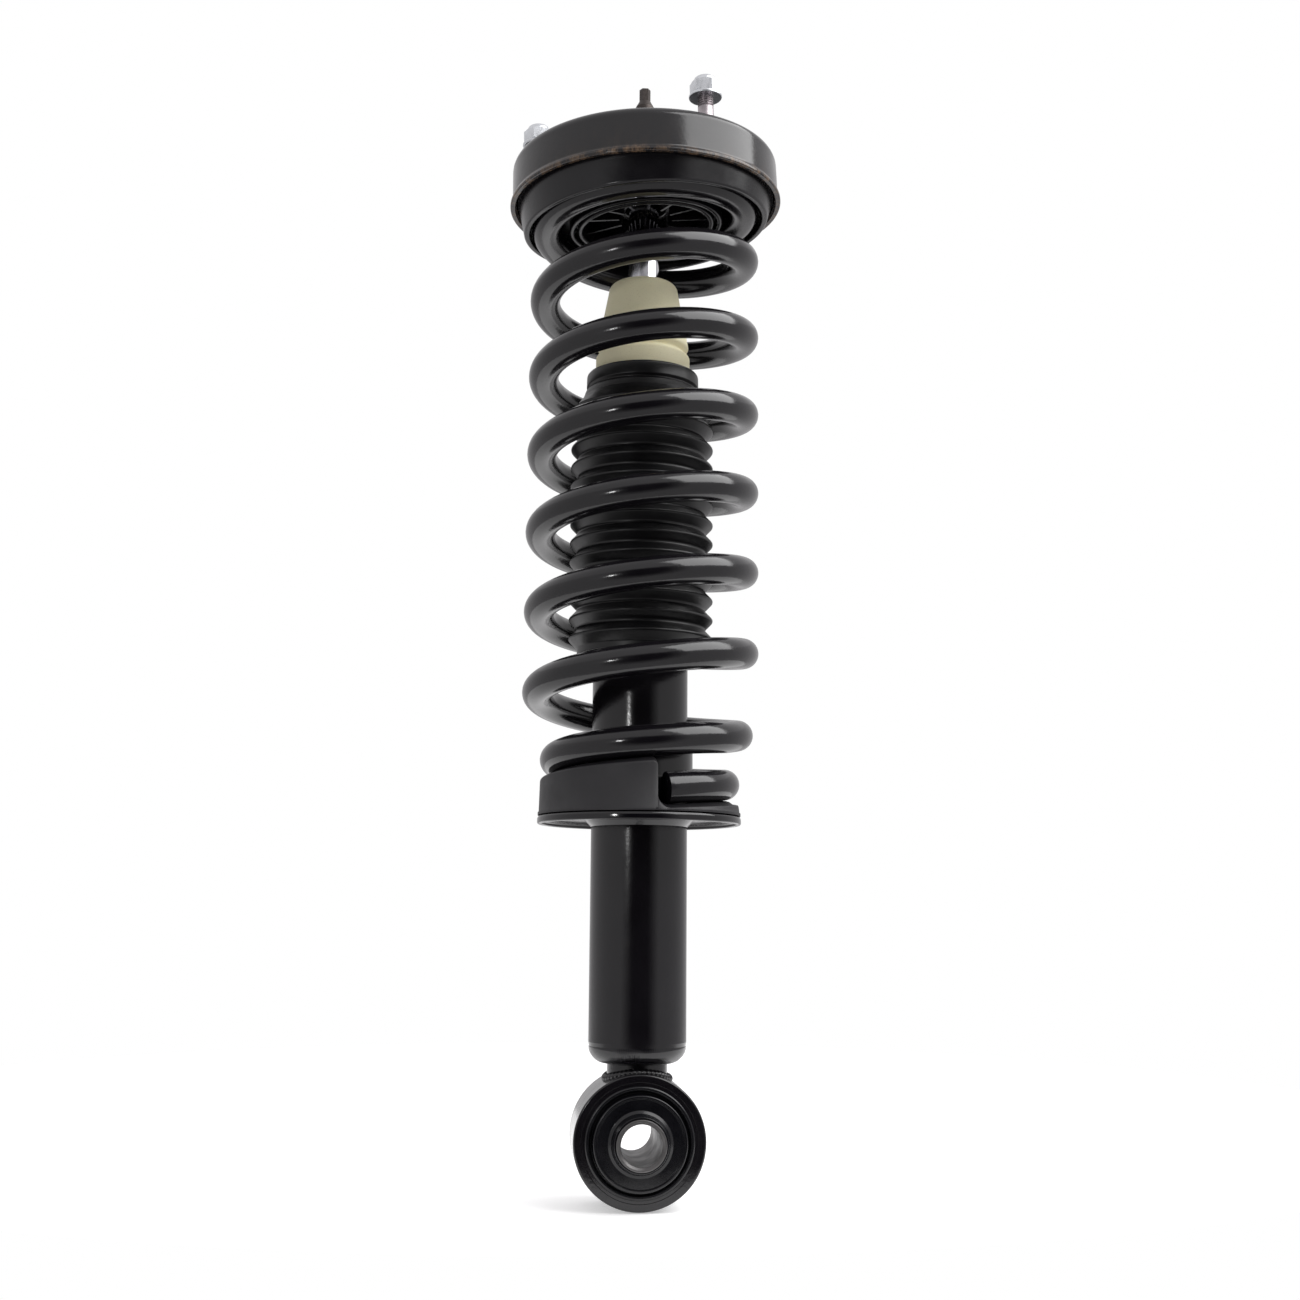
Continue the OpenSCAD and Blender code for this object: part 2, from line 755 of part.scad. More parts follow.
// Cross-section of the upper rubber at an angle along the wire
function cup_edge(a) = let (
    over = coil_z(a) + wire_r + seat_gap, mid = coil_r(a),
    r_in = channel_in + soft_gap, r_out = channel_out - soft_gap
  ) [
    [r_in, ceiling_z], [r_in, over - 3], [mid - 4.5, over - 0.4], [mid, over],
    [mid + 4.5, over - 0.4], [r_out, over - 3], [r_out, ceiling_z]
  ];

cup_sweep = 300;

module upper_isolator() {
  steps = 64;
  color("dimgray") leaned() skin([for (i = [0 : steps])
    let (a = top_end - cup_sweep * (1 - i / steps))
      spun([for (p = cup_edge(a)) [p[0], min(p[1], ceiling_z)]], a + spring_start)]);
}

// ---------- Studs ----------

// Places one child at each stud; $stud counts them
module at_studs() {
  leaned() for (i = [0 : stud_count - 1])
    let ($stud = i)
      rotate([0, 0, stud_angle + i * 360 / stud_count])
        translate([stud_ring_r, 0, mount_z]) children();
}

module studs() {
  head_h = 4;
  color("silver") at_studs() rotate_extrude() polygon([
    [0, -cap_t - head_h], [stud_r * 1.7, -cap_t - head_h], [stud_r * 1.7, -cap_t],
    [knurl_r, -cap_t], [knurl_r, 0], [stud_r, 0], [stud_r, shank_h], [thread_r, shank_h + 0.4],
    [thread_r, stud_h - 1], [thread_r - 1, stud_h], [0, stud_h]
  ]);
}

function nut_lift() = nut_lifts[$stud % len(nut_lifts)];

module stud_washers() {
  color("silver") at_studs() ring(stud_washer_d / 2, thread_r, nut_lift(), stud_washer_t);
}

module stud_nuts() {
  color("gainsboro") at_studs() translate([0, 0, nut_lift() + stud_washer_t]) difference() {
    union() {
      intersection() {
        linear_extrude(nut_h) hexagon(nut_af);
        cylinder(r1 = nut_af / 2 + nut_h * 1.6, r2 = nut_af / 2, h = nut_h);
      }
      cylinder(r1 = nut_af / 2 - 0.8, r2 = stud_r + 1.2, h = nut_h + nut_crown_h);
    }
    translate([0, 0, -1]) cylinder(r = thread_r, h = nut_h + nut_crown_h + 2);
  }
}

inner_sleeve();
eye_ring();
outer_sleeve();
bush_rubber();
neck();
eye_weld();
base_cap();
base_weld();
damper_tube();
pressure_tube();
foot_valve();
rod_guide();
guide_bush();
oil_seal();
striker_cap();
spring_plate();
plate_weld();
lower_isolator();
coil_spring();
piston_rod();
piston();
piston_ring();
bump_discs();
rebound_discs();
piston_nut();
rebound_stop();
mount_core();
lower_washer();
upper_washer();
rod_nut();
foam_bumper();
dust_boot();
mount_cap();
mount_rubber();
spring_housing();
upper_isolator();
studs();
stud_washers();
stud_nuts();
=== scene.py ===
import json
import math

import bmesh
import bpy
from mathutils import Matrix, Vector

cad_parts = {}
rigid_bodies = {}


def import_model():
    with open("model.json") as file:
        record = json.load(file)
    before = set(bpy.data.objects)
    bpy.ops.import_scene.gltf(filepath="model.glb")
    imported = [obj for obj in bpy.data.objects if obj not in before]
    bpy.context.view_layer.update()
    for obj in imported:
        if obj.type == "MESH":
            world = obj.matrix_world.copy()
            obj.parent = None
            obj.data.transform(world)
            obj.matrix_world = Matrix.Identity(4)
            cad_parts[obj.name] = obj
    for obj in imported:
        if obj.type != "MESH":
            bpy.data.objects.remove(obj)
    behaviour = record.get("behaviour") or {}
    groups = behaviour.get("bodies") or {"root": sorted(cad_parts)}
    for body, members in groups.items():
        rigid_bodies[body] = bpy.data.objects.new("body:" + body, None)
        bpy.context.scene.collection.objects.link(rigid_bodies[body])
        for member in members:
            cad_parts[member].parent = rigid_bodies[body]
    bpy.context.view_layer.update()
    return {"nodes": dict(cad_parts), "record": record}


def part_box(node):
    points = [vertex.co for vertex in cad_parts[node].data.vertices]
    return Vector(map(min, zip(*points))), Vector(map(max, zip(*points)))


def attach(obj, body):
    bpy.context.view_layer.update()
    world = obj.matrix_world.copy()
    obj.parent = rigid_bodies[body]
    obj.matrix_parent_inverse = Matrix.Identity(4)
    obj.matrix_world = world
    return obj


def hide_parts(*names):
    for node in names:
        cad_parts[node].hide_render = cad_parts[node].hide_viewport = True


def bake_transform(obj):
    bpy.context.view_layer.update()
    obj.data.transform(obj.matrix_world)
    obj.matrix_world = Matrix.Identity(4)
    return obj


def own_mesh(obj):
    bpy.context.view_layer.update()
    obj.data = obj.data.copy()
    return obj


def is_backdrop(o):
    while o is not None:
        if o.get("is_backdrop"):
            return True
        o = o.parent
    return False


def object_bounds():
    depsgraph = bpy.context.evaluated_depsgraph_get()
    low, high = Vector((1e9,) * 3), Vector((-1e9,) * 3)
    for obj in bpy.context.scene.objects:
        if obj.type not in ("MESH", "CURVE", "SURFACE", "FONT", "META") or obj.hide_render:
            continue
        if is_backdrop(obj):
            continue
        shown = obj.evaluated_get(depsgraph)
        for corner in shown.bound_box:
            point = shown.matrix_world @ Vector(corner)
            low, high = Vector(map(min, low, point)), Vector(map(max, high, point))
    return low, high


for leftover in list(bpy.data.objects):
    bpy.data.objects.remove(leftover)
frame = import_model()
NODES = frame["nodes"]
MOUNT = next(m for m in frame["record"]["mounts"] if m["name"] == "top_studs")

MM = 0.001

# ---------- Sizes shared with the CAD model, in mm ----------

EYE_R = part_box("eye_ring")[1].x / MM
EYE_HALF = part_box("eye_ring")[1].y / MM
SLEEVE_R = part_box("inner_sleeve")[1].x / MM
SLEEVE_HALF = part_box("inner_sleeve")[1].y / MM
SLEEVE_BORE_R = 12.25
SLEEVE_CHAMFER = 1.5
EYE_WALL = 5
RUBBER_PROUD = 6
RUBBER_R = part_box("bush_rubber")[1].x / MM
NECK_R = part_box("neck")[1].x / MM
TUBE_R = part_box("damper_tube")[1].x / MM
DOME_R = 13
DOME_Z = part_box("base_cap")[0].z / MM + DOME_R

PERCH_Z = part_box("lower_isolator")[0].z / MM
PERCH_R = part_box("spring_plate")[1].x / MM
PERCH_T = 3
PERCH_RIM = 5.5
COLLAR_T = 3.4
COLLAR_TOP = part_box("spring_plate")[1].z / MM
PAD_IN = 38

WIRE_R = 9.625
COIL_R = 65
COIL_LOW_R = 53
CLOSED_PITCH = 29
TOP_PITCH = 20.5
LOW_END = 1.12 * 360
OPEN_END = LOW_END + 6.52 * 360
TOP_END = OPEN_END + 0.83 * 360
GROW = 0.55 * 360
START = -77
PAD_T = 4.5
PAD_LIP = 2.8
WIRE_LOW = PERCH_Z + PAD_T + WIRE_R

MOUNT_Z = MOUNT["pos_m"][2] / MM
MOUNT_LEAN = math.atan2(-MOUNT["axis"][0], MOUNT["axis"][2])
STUD_RING_R = MOUNT["dims"]["pcd_mm"] / 2
STUD_ANGLES = [-61, 59, 179]
NUT_LIFTS = [17.5, 14, 13]
WASHER_R = 10.5
WASHER_T = 2
STUD_HOLE_R = 5.05
CEILING = MOUNT_Z - 15.1
SEAT_GAP = 1.9
CUP_T = 3
WIRE_TOP = CEILING - CUP_T - SEAT_GAP - WIRE_R
HOUSING_LOW = MOUNT_Z - 45
RIM_SLANT = math.radians(3.3)
RIM_TURN = math.radians(20)
RIM_WALL = 3.2
LIP_Z = MOUNT_Z - 31
BOSS_Z = MOUNT_Z - 32
RIB_DROP = 6
CAP_R = 87.6
CAP_T = 3
CAP_IN = CAP_R - CAP_T
CHANNEL_OUT = COIL_R + WIRE_R + 2.2
CHANNEL_IN = COIL_R - WIRE_R - 5
HUB_LIP_R = CHANNEL_IN - 8.7
HUB_R = 18
ROD_R = 10

BUMPER_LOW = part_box("foam_bumper")[0].z / MM
BUMPER_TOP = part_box("foam_bumper")[1].z / MM
BUMPER_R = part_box("foam_bumper")[1].x / MM
NOSE_R = 21
BOOT_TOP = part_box("dust_boot")[1].z / MM
BOOT_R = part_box("dust_boot")[1].x / MM
BOOT_COLLAR_R = 37
FOLD_DEPTH = 6
FOLDS = 13
FOLD_H = 12.4
BOOT_WALL = 1.6


# ---------- Mesh tools ----------

def piece(name, verts, faces, body, slot, node, smooth_angle=35, material=None):
    """A new mesh in mm that rides on a body and stands for a CAD node."""
    mesh = bpy.data.meshes.new(name)
    mesh.from_pydata([tuple(c * MM for c in v) for v in verts], [], faces)
    bm = bmesh.new()
    bm.from_mesh(mesh)
    bmesh.ops.recalc_face_normals(bm, faces=bm.faces)
    bm.to_mesh(mesh)
    bm.free()
    mesh.shade_smooth()
    mesh.set_sharp_from_angle(angle=math.radians(smooth_angle))
    obj = bpy.data.objects.new(name, mesh)
    bpy.context.scene.collection.objects.link(obj)
    obj.data.materials.append(material or MATERIALS[slot])
    if node:
        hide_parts(node)
    if body:
        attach(obj, body)
    return obj


def join(parts):
    """One list of vertices and faces from several."""
    verts, faces = [], []
    for v, f in parts:
        base = len(verts)
        verts += [tuple(p) for p in v]
        faces += [tuple(i + base for i in face) for face in f]
    return verts, faces


def rounded(points, steps=5):
    """An outline whose corners are rounded. Each point is (r, z) or (r, z, radius)."""
    out = []
    for i, p in enumerate(points):
        here = Vector(p[:2])
        radius = p[2] if len(p) > 2 else 0
        back = Vector(points[i - 1][:2]) - here
        on = Vector(points[(i + 1) % len(points)][:2]) - here
        half = back.angle(on) / 2
        if radius <= 0 or half > math.radians(88):
            out.append(tuple(here))
            continue
        cut = min(radius / math.tan(half), 0.49 * back.length, 0.49 * on.length)
        radius = cut * math.tan(half)
        centre = here + (back.normalized() + on.normalized()).normalized() * (radius / math.sin(half))
        a = here + back.normalized() * cut - centre
        b = here + on.normalized() * cut - centre
        first = math.atan2(a.y, a.x)
        turn = (math.atan2(b.y, b.x) - first + math.pi) % (2 * math.pi) - math.pi
        for k in range(steps + 1):
            t = first + turn * k / steps
            out.append((centre.x + radius * math.cos(t), centre.y + radius * math.sin(t)))
    return out


def grid_faces(rows, cols, wrap_rows, wrap_cols):
    faces = []
    for i in range(rows if wrap_rows else rows - 1):
        for j in range(cols if wrap_cols else cols - 1):
            a, b = i * cols + j, i * cols + (j + 1) % cols
            c, d = ((i + 1) % rows) * cols + (j + 1) % cols, ((i + 1) % rows) * cols + j
            faces.append((a, b, c, d))
    return faces


def turned(outline, steps=144, about_y=False):
    """A solid of revolution from a closed outline of (radius, height)."""
    verts = []
    for k in range(steps):
        a = 2 * math.pi * k / steps
        for r, z in outline:
            x, y = r * math.cos(a), r * math.sin(a)
            verts.append((x, z, y) if about_y else (x, y, z))
    return verts, grid_faces(steps, len(outline), True, True)


def shaft(rows, steps=72, radius=None):
    """A solid shaft from rows of (radius, height), closed at both ends.
    radius(r, z, angle) may change a row's radius round the shaft."""
    verts = []
    for r, z in rows:
        for k in range(steps):
            a = 2 * math.pi * k / steps
            q = radius(r, z, a) if radius else r
            verts.append((q * math.cos(a), q * math.sin(a), z))
    faces = grid_faces(len(rows), steps, False, True)
    faces.append(tuple(range(steps)))
    faces.append(tuple(range((len(rows) - 1) * steps, len(rows) * steps)))
    return verts, faces


def loft(rings, closed):
    """Rings of points joined one after another, capped at both ends unless closed."""
    n = len(rings[0])
    verts = [p for ring in rings for p in ring]
    faces = grid_faces(len(rings), n, closed, True)
    if not closed:
        faces.append(tuple(range(n)))
        faces.append(tuple(range((len(rings) - 1) * n, len(rings) * n)))
    return verts, faces


def box_mesh(lo, hi, turn=0.0, edge=0.0):
    """A box between two corners, turned about Z, with its long upper edges drawn in by edge."""
    (x0, y0, z0), (x1, y1, z1) = lo, hi
    verts = [(x0, y0, z0), (x1, y0, z0), (x1, y1, z0), (x0, y1, z0),
             (x0 + edge, y0 + edge, z1), (x1 - edge, y0 + edge, z1),
             (x1 - edge, y1 - edge, z1), (x0 + edge, y1 - edge, z1)]
    c, s = math.cos(turn), math.sin(turn)
    verts = [(x * c - y * s, x * s + y * c, z) for x, y, z in verts]
    faces = [(0, 1, 2, 3), (4, 5, 6, 7), (0, 1, 5, 4), (1, 2, 6, 5), (2, 3, 7, 6), (3, 0, 4, 7)]
    return verts, faces


def leaned(verts):
    """Vertices of the mount, leaned about the rod at the cap's top."""
    turn = Matrix.Rotation(-MOUNT_LEAN, 3, "Y")
    pivot = Vector((0, 0, MOUNT_Z))
    return [tuple(turn @ (Vector(v) - pivot) + pivot) for v in verts]


def weighted(obj):
    """Normals by face area, so that flats stay flat beside their rounded edges."""
    obj.modifiers.new("flats", "WEIGHTED_NORMAL").keep_sharp = True
    return obj


# ---------- Materials ----------

class Shader:
    """A Principled material, with short calls for its procedural parts."""

    def __init__(self, name, colour, rough, metal=0.0, **sockets):
        self.material = bpy.data.materials.new(name)
        self.material.use_nodes = True
        self.tree = self.material.node_tree
        self.bsdf = self.tree.nodes["Principled BSDF"]
        self.bsdf.inputs["Base Color"].default_value = (*colour, 1)
        self.bsdf.inputs["Roughness"].default_value = rough
        self.bsdf.inputs["Metallic"].default_value = metal
        for key, value in sockets.items():
            self.bsdf.inputs[key.replace("_", " ")].default_value = value
        self.place = self.node("ShaderNodeTexCoord").outputs["Object"]

    def node(self, kind, **values):
        made = self.tree.nodes.new(kind)
        for key, value in values.items():
            if key in made.inputs:
                made.inputs[key].default_value = value
            else:
                setattr(made, key, value)
        return made

    def link(self, a, b):
        self.tree.links.new(a, b)

    def noise(self, per_metre, detail=3, rough=0.55, stretch=(1, 1, 1)):
        """Noise with a number of grains per metre, from 0 to 1."""
        mapping = self.node("ShaderNodeMapping")
        mapping.inputs["Scale"].default_value = stretch
        self.link(self.place, mapping.inputs["Vector"])
        made = self.node("ShaderNodeTexNoise", Scale=per_metre, Detail=detail, Roughness=rough)
        self.link(mapping.outputs["Vector"], made.inputs["Vector"])
        return made.outputs["Fac"]

    def remap(self, value, lo, hi, from_lo=0.3, from_hi=0.7):
        made = self.node("ShaderNodeMapRange")
        for key, number in (("From Min", from_lo), ("From Max", from_hi),
                            ("To Min", lo), ("To Max", hi)):
            made.inputs[key].default_value = number
        self.link(value, made.inputs["Value"])
        return made.outputs["Result"]

    def mix(self, factor, a, b):
        """Colour from a to b by a factor. Each is a colour or a socket."""
        made = self.node("ShaderNodeMix", data_type="RGBA")
        for key, value in ((6, a), (7, b)):
            if isinstance(value, tuple):
                made.inputs[key].default_value = (*value, 1)
            else:
                self.link(value, made.inputs[key])
        self.link(factor, made.inputs[0])
        return made.outputs[2]

    def times(self, a, b):
        made = self.node("ShaderNodeMath", operation="MULTIPLY")
        self.link(a, made.inputs[0])
        self.link(b, made.inputs[1])
        return made.outputs[0]

    def colour(self, socket):
        self.link(socket, self.bsdf.inputs["Base Color"])

    def rough(self, socket):
        self.link(socket, self.bsdf.inputs["Roughness"])

    def bump(self, height, depth, strength=1.0):
        """Bump from a height of 0 to 1, over a depth in metres."""
        made = self.node("ShaderNodeBump", Strength=strength, Distance=depth)
        if self.bsdf.inputs["Normal"].is_linked:
            self.link(self.bsdf.inputs["Normal"].links[0].from_socket, made.inputs["Normal"])
        self.link(height, made.inputs["Height"])
        self.link(made.outputs["Normal"], self.bsdf.inputs["Normal"])

    def height_above(self, z, soft):
        """0 below a height in metres and 1 above it, over a soft step."""
        parts = self.node("ShaderNodeSeparateXYZ")
        self.link(self.place, parts.inputs["Vector"])
        return self.remap(parts.outputs["Z"], 0, 1, z - soft, z + soft)

    def attribute(self, name):
        return self.node("ShaderNodeAttribute", attribute_name=name).outputs["Fac"]


def paint(name, colour, rough, peel, dust=0.5):
    """Black coat with orange peel, and faint dust and handling marks."""
    s = Shader(name, colour, rough, Coat_Weight=0.1, Coat_Roughness=0.1)
    cloud = s.noise(38, 4)
    specks = s.noise(900, 2, 0.6)
    lifted = tuple(c * 1.6 + 0.0015 for c in colour)
    s.colour(s.mix(s.remap(cloud, 0, dust), colour, lifted))
    s.rough(s.remap(cloud, rough - 0.03, rough + 0.06))
    s.bump(s.noise(430, 2, 0.5), 0.00009, peel)
    s.bump(specks, 0.00002, peel)
    return s


def black_paint():
    return paint("black_paint", (0.0042, 0.0036, 0.0048), 0.14, 0.45).material


def cap_paint():
    """The coat of the cap: rubbed brown at the lip, by the vertex weight called wear."""
    s = paint("cap_paint", (0.0046, 0.0040, 0.0050), 0.15, 0.45)
    coat = s.bsdf.inputs["Base Color"].links[0].from_socket
    scuffs = s.remap(s.noise(210, 5, 0.7, (1, 1, 0.35)), 0, 1, 0.42, 0.68)
    worn = s.times(s.attribute("wear"), scuffs)
    rust = s.mix(s.noise(700, 3), (0.075, 0.040, 0.020), (0.19, 0.125, 0.075))
    s.colour(s.mix(worn, coat, rust))
    return s.material


def gloss_paint():
    return paint("gloss_paint", (0.0034, 0.0030, 0.0042), 0.09, 0.3, 0.3).material


def rubber(name, colour, rough, grain, depth, mottle=0.6):
    """Moulded rubber: a fine grain, and bloom that comes and goes."""
    s = Shader(name, colour, rough, Specular_IOR_Level=0.45)
    bloom = s.noise(26, 4, 0.6)
    lifted = tuple(c * 1.8 + 0.002 for c in colour)
    s.colour(s.mix(s.remap(bloom, 0, mottle), colour, lifted))
    s.rough(s.remap(s.noise(60, 3), rough - 0.06, rough + 0.07))
    s.bump(s.noise(grain, 3, 0.6), depth, 0.6)
    return s


def foam():
    """Cream cellular foam with a moulded skin, pores and slightly yellowed patches."""
    s = Shader("cream_foam", (0.86, 0.80, 0.56), 0.62, Subsurface_Weight=0.08, Specular_IOR_Level=0.3)
    s.bsdf.inputs["Subsurface Radius"].default_value = (1.0, 0.8, 0.45)
    s.bsdf.inputs["Subsurface Scale"].default_value = 0.003
    patches = s.mix(s.remap(s.noise(22, 4), 0, 1), (0.88, 0.83, 0.59), (0.80, 0.745, 0.50))
    pores = s.remap(s.noise(1500, 2, 0.7), 0, 1, 0.60, 0.74)
    s.colour(s.mix(pores, patches, (0.62, 0.57, 0.37)))
    s.bump(s.noise(1300, 3, 0.6), 0.00016, 0.6)
    s.bump(s.noise(120, 3, 0.5), 0.00045, 0.4)
    return s.material


def metal(name, colour, rough, grain=(900, 900, 900), depth=0.00002, dark=0.75):
    """Plated or ground metal with a grain, cloudy roughness and dull patches."""
    s = Shader(name, colour, rough, 1.0)
    cloud = s.noise(95, 4, 0.6)
    s.colour(s.mix(s.remap(cloud, 0, 1), colour, tuple(c * dark for c in colour)))
    s.rough(s.remap(cloud, rough - 0.06, rough + 0.1))
    stretch = tuple(g / max(grain) for g in grain)
    s.bump(s.noise(max(grain), 2, 0.5, stretch), depth, 0.6)
    return s


def chrome_rod():
    """Hard chrome with fine rings from grinding. Above the nut it is dark phosphate."""
    s = metal("chrome_rod", (0.74, 0.74, 0.78), 0.09, (300, 300, 5200), 0.000006, 0.9)
    above = s.height_above((MOUNT_Z + 27) * MM, 0.0003)
    bright = s.bsdf.inputs["Base Color"].links[0].from_socket
    dark = s.mix(s.noise(700, 3), (0.050, 0.042, 0.040), (0.10, 0.088, 0.082))
    s.colour(s.mix(above, bright, dark))
    finish = s.bsdf.inputs["Roughness"].links[0].from_socket
    rough = s.node("ShaderNodeMix", data_type="FLOAT")
    s.link(above, rough.inputs[0])
    s.link(finish, rough.inputs[2])
    rough.inputs[3].default_value = 0.5
    s.rough(rough.outputs[0])
    return s.material


MATERIALS = {
    "black_paint": black_paint(),
    "gloss_paint": gloss_paint(),
    "housing_rubber": rubber("housing_rubber", (0.0046, 0.0042, 0.0052), 0.22, 800, 0.00004).material,
    "isolator_rubber": rubber("isolator_rubber", (0.0080, 0.0074, 0.0090), 0.50, 1100, 0.00006).material,
    "boot_rubber": rubber("boot_rubber", (0.0026, 0.0025, 0.0029), 0.36, 900, 0.00004).material,
    "rubber_gloss": rubber("rubber_gloss", (0.0030, 0.0030, 0.0042), 0.20, 600, 0.00003, 0.4).material,
    "seal_rubber": rubber("seal_rubber", (0.030, 0.018, 0.012), 0.45, 900, 0.00003).material,
    "cream_foam": foam(),
    "chrome_rod": chrome_rod(),
    "zinc": metal("zinc", (0.78, 0.80, 0.83), 0.25).material,
    "bare_steel": metal("bare_steel", (0.52, 0.52, 0.53), 0.3).material,
    "sleeve_steel": metal("sleeve_steel", (0.16, 0.155, 0.155), 0.42, (900, 2400, 900), 0.00003).material,
    "sintered_steel": metal("sintered_steel", (0.30, 0.30, 0.31), 0.5, (1600, 1600, 1600), 0.00005).material,
    "bronze_ptfe": metal("bronze_ptfe", (0.42, 0.30, 0.16), 0.42).material,
    "stop_plastic": rubber("stop_plastic", (0.55, 0.24, 0.06), 0.42, 700, 0.00003).material,
}
STUD_STEEL = metal("stud_steel", (0.52, 0.47, 0.49), 0.33, (700, 700, 3000), 0.00002).material
CAP_PAINT = cap_paint()

for subpart in frame["record"]["subparts"]:
    node = NODES[subpart["node"]]
    node.data.materials.clear()
    node.data.materials.append(MATERIALS[subpart["material_slot"]])


# ---------- Lower eye ----------

def eye_ring():
    inner = EYE_R - EYE_WALL
    outline = rounded([(inner, -EYE_HALF, 0.4), (EYE_R, -EYE_HALF, 1.3),
                       (EYE_R, EYE_HALF, 1.3), (inner, EYE_HALF, 0.4)])
    v, f = turned(outline, 160, True)
    weighted(piece("eye_ring_painted", v, f, "strut_body", "black_paint", "eye_ring"))


def inner_sleeve():
    half = SLEEVE_HALF
    bore = SLEEVE_BORE_R
    chamfer = SLEEVE_CHAMFER
    outline = rounded([(bore, -half + chamfer, 0.3), (bore + chamfer, -half, 0.2), (SLEEVE_R, -half, 0.5),
                       (SLEEVE_R, half, 0.5), (bore + chamfer, half, 0.2), (bore, half - chamfer, 0.3)], 3)
    v, f = turned(outline, 128, True)
    weighted(piece("bush_inner_sleeve", v, f, "bush_sleeve", "sleeve_steel", "inner_sleeve"))


def bush_rubber():
    """The rubber between the sleeves: a bead, a groove and a raised disc with short ridges on each face."""
    edge = EYE_HALF - 1
    face = EYE_HALF + RUBBER_PROUD
    rim = RUBBER_R - 3.1
    half_outline = [
        (RUBBER_R, edge, 0.2), (RUBBER_R, edge + 2.6, 1.4), (rim, edge + 2.6, 1.4),
        (rim, edge - 0.6, 0.8), (rim - 1.5, edge - 0.6, 0.6), (rim - 1.8, face, 1.3),
        (rim - 3.4, face, 0.5), (rim - 4.0, face - 0.7, 0.5),
        (SLEEVE_R + 4.4, face - 0.7, 0.8), (SLEEVE_R + 2.6, face + 0.4, 0.9),
        (SLEEVE_R + 1.2, SLEEVE_HALF - 2, 0.5), (SLEEVE_R + 0.04, SLEEVE_HALF - 2, 0.1)]
    mirrored = [(p[0], -p[1], p[2]) for p in reversed(half_outline)]
    body = turned(rounded(half_outline + mirrored, 4), 160, True)
    ridges = []
    first, spacing, pairs = 8, 60, 6
    half_gap, half_width = 1.7, 0.35
    for side in (-1, 1):
        for k in range(pairs):
            for apart in (-half_gap, half_gap):
                turn = math.radians(first + spacing * k)
                v, f = box_mesh((SLEEVE_R + 6.2, apart - half_width, -0.8),
                                (rim - 6.4, apart + half_width, 0.45), turn, 0.15)
                ridges.append(([(x, side * (face - 0.7 + z), y) for x, y, z in v], f))
    v, f = join([body] + ridges)
    weighted(piece("bush_rubber_moulded", v, f, "strut_body", "rubber_gloss", "bush_rubber"))


def eye_weld():
    """A rippled bead along the curve where the neck meets the round eye."""
    stations, sides, bead = 280, 14, 3.1
    rings = []
    for i in range(stations):
        a = 2 * math.pi * i / stations
        x, y = NECK_R * math.cos(a), NECK_R * math.sin(a)
        z = math.sqrt(EYE_R ** 2 - x ** 2)
        out = Vector((math.cos(a), math.sin(a), 0))
        up = Vector((0, 0, 1))
        r = bead * (1 + 0.10 * math.sin(46 * a) + 0.05 * math.sin(7 * a + 1))
        ring = []
        for k in range(sides):
            b = 2 * math.pi * k / sides
            ring.append(tuple(Vector((x, y, z)) + out * (r * math.cos(b)) + up * (0.9 * r * math.sin(b))))
        rings.append(ring)
    v, f = loft(rings, True)
    piece("eye_weld_bead", v, f, "strut_body", "black_paint", "eye_weld", 80)


def base_weld():
    """A flat bead round the damper's rounded bottom, whose crescents show where it starts and stops."""
    stations, across = 720, 13
    low, high = math.radians(-72), math.radians(-10)
    overlap = math.radians(-103)
    rings = []
    for i in range(stations):
        a = 2 * math.pi * i / stations
        away = abs((a - overlap + math.pi) % (2 * math.pi) - math.pi)
        strong = 0.16 + 0.84 * math.exp(-(away / math.radians(17)) ** 4)
        ring = []
        for k in range(across):
            s = 2 * k / (across - 1) - 1
            b = low + (high - low) * (s + 1) / 2
            crescent = math.sin(132 * a - 2.4 * (1 - s * s))
            rise = (1 - s ** 4) * (0.62 + 0.32 * strong * crescent)
            r = DOME_R + rise
            ring.append((TUBE_R - DOME_R + r * math.cos(b), DOME_Z + r * math.sin(b)))
        for b in (high, (high + low) / 2, low):
            r = DOME_R - 1.2
            ring.append((TUBE_R - DOME_R + r * math.cos(b), DOME_Z + r * math.sin(b)))
        rings.append([(q * math.cos(a), q * math.sin(a), z) for q, z in ring])
    v, f = loft(rings, True)
    piece("base_weld_bead", v, f, "strut_body", "gloss_paint", "base_weld", 60)


# ---------- Spring and its lower seat ----------

def ease(t):
    t = min(1.0, max(0.0, t))
    return t * t * (3 - 2 * t)


def coil_radius(a):
    return COIL_LOW_R + (COIL_R - COIL_LOW_R) * ease((a - LOW_END + GROW / 2) / GROW)


def coil_height(a):
    closed_rise = (CLOSED_PITCH * LOW_END + TOP_PITCH * (TOP_END - OPEN_END)) / 360
    open_pitch = (WIRE_TOP - WIRE_LOW - closed_rise) * 360 / (OPEN_END - LOW_END)
    return (WIRE_LOW + CLOSED_PITCH * min(a, LOW_END) / 360
            + open_pitch * max(0, min(a, OPEN_END) - LOW_END) / 360
            + TOP_PITCH * max(0, a - OPEN_END) / 360)


def coil_point(a):
    """Centre of the wire at an angle along it, in degrees from its lower end."""
    az = math.radians(a + START)
    z = coil_height(a)
    x = coil_radius(a) * math.cos(az)
    slope = math.tan(MOUNT_LEAN) * (z - WIRE_LOW) / (WIRE_TOP - WIRE_LOW)
    return (x + (MOUNT_Z - WIRE_TOP) * slope, coil_radius(a) * math.sin(az), z + x * slope)


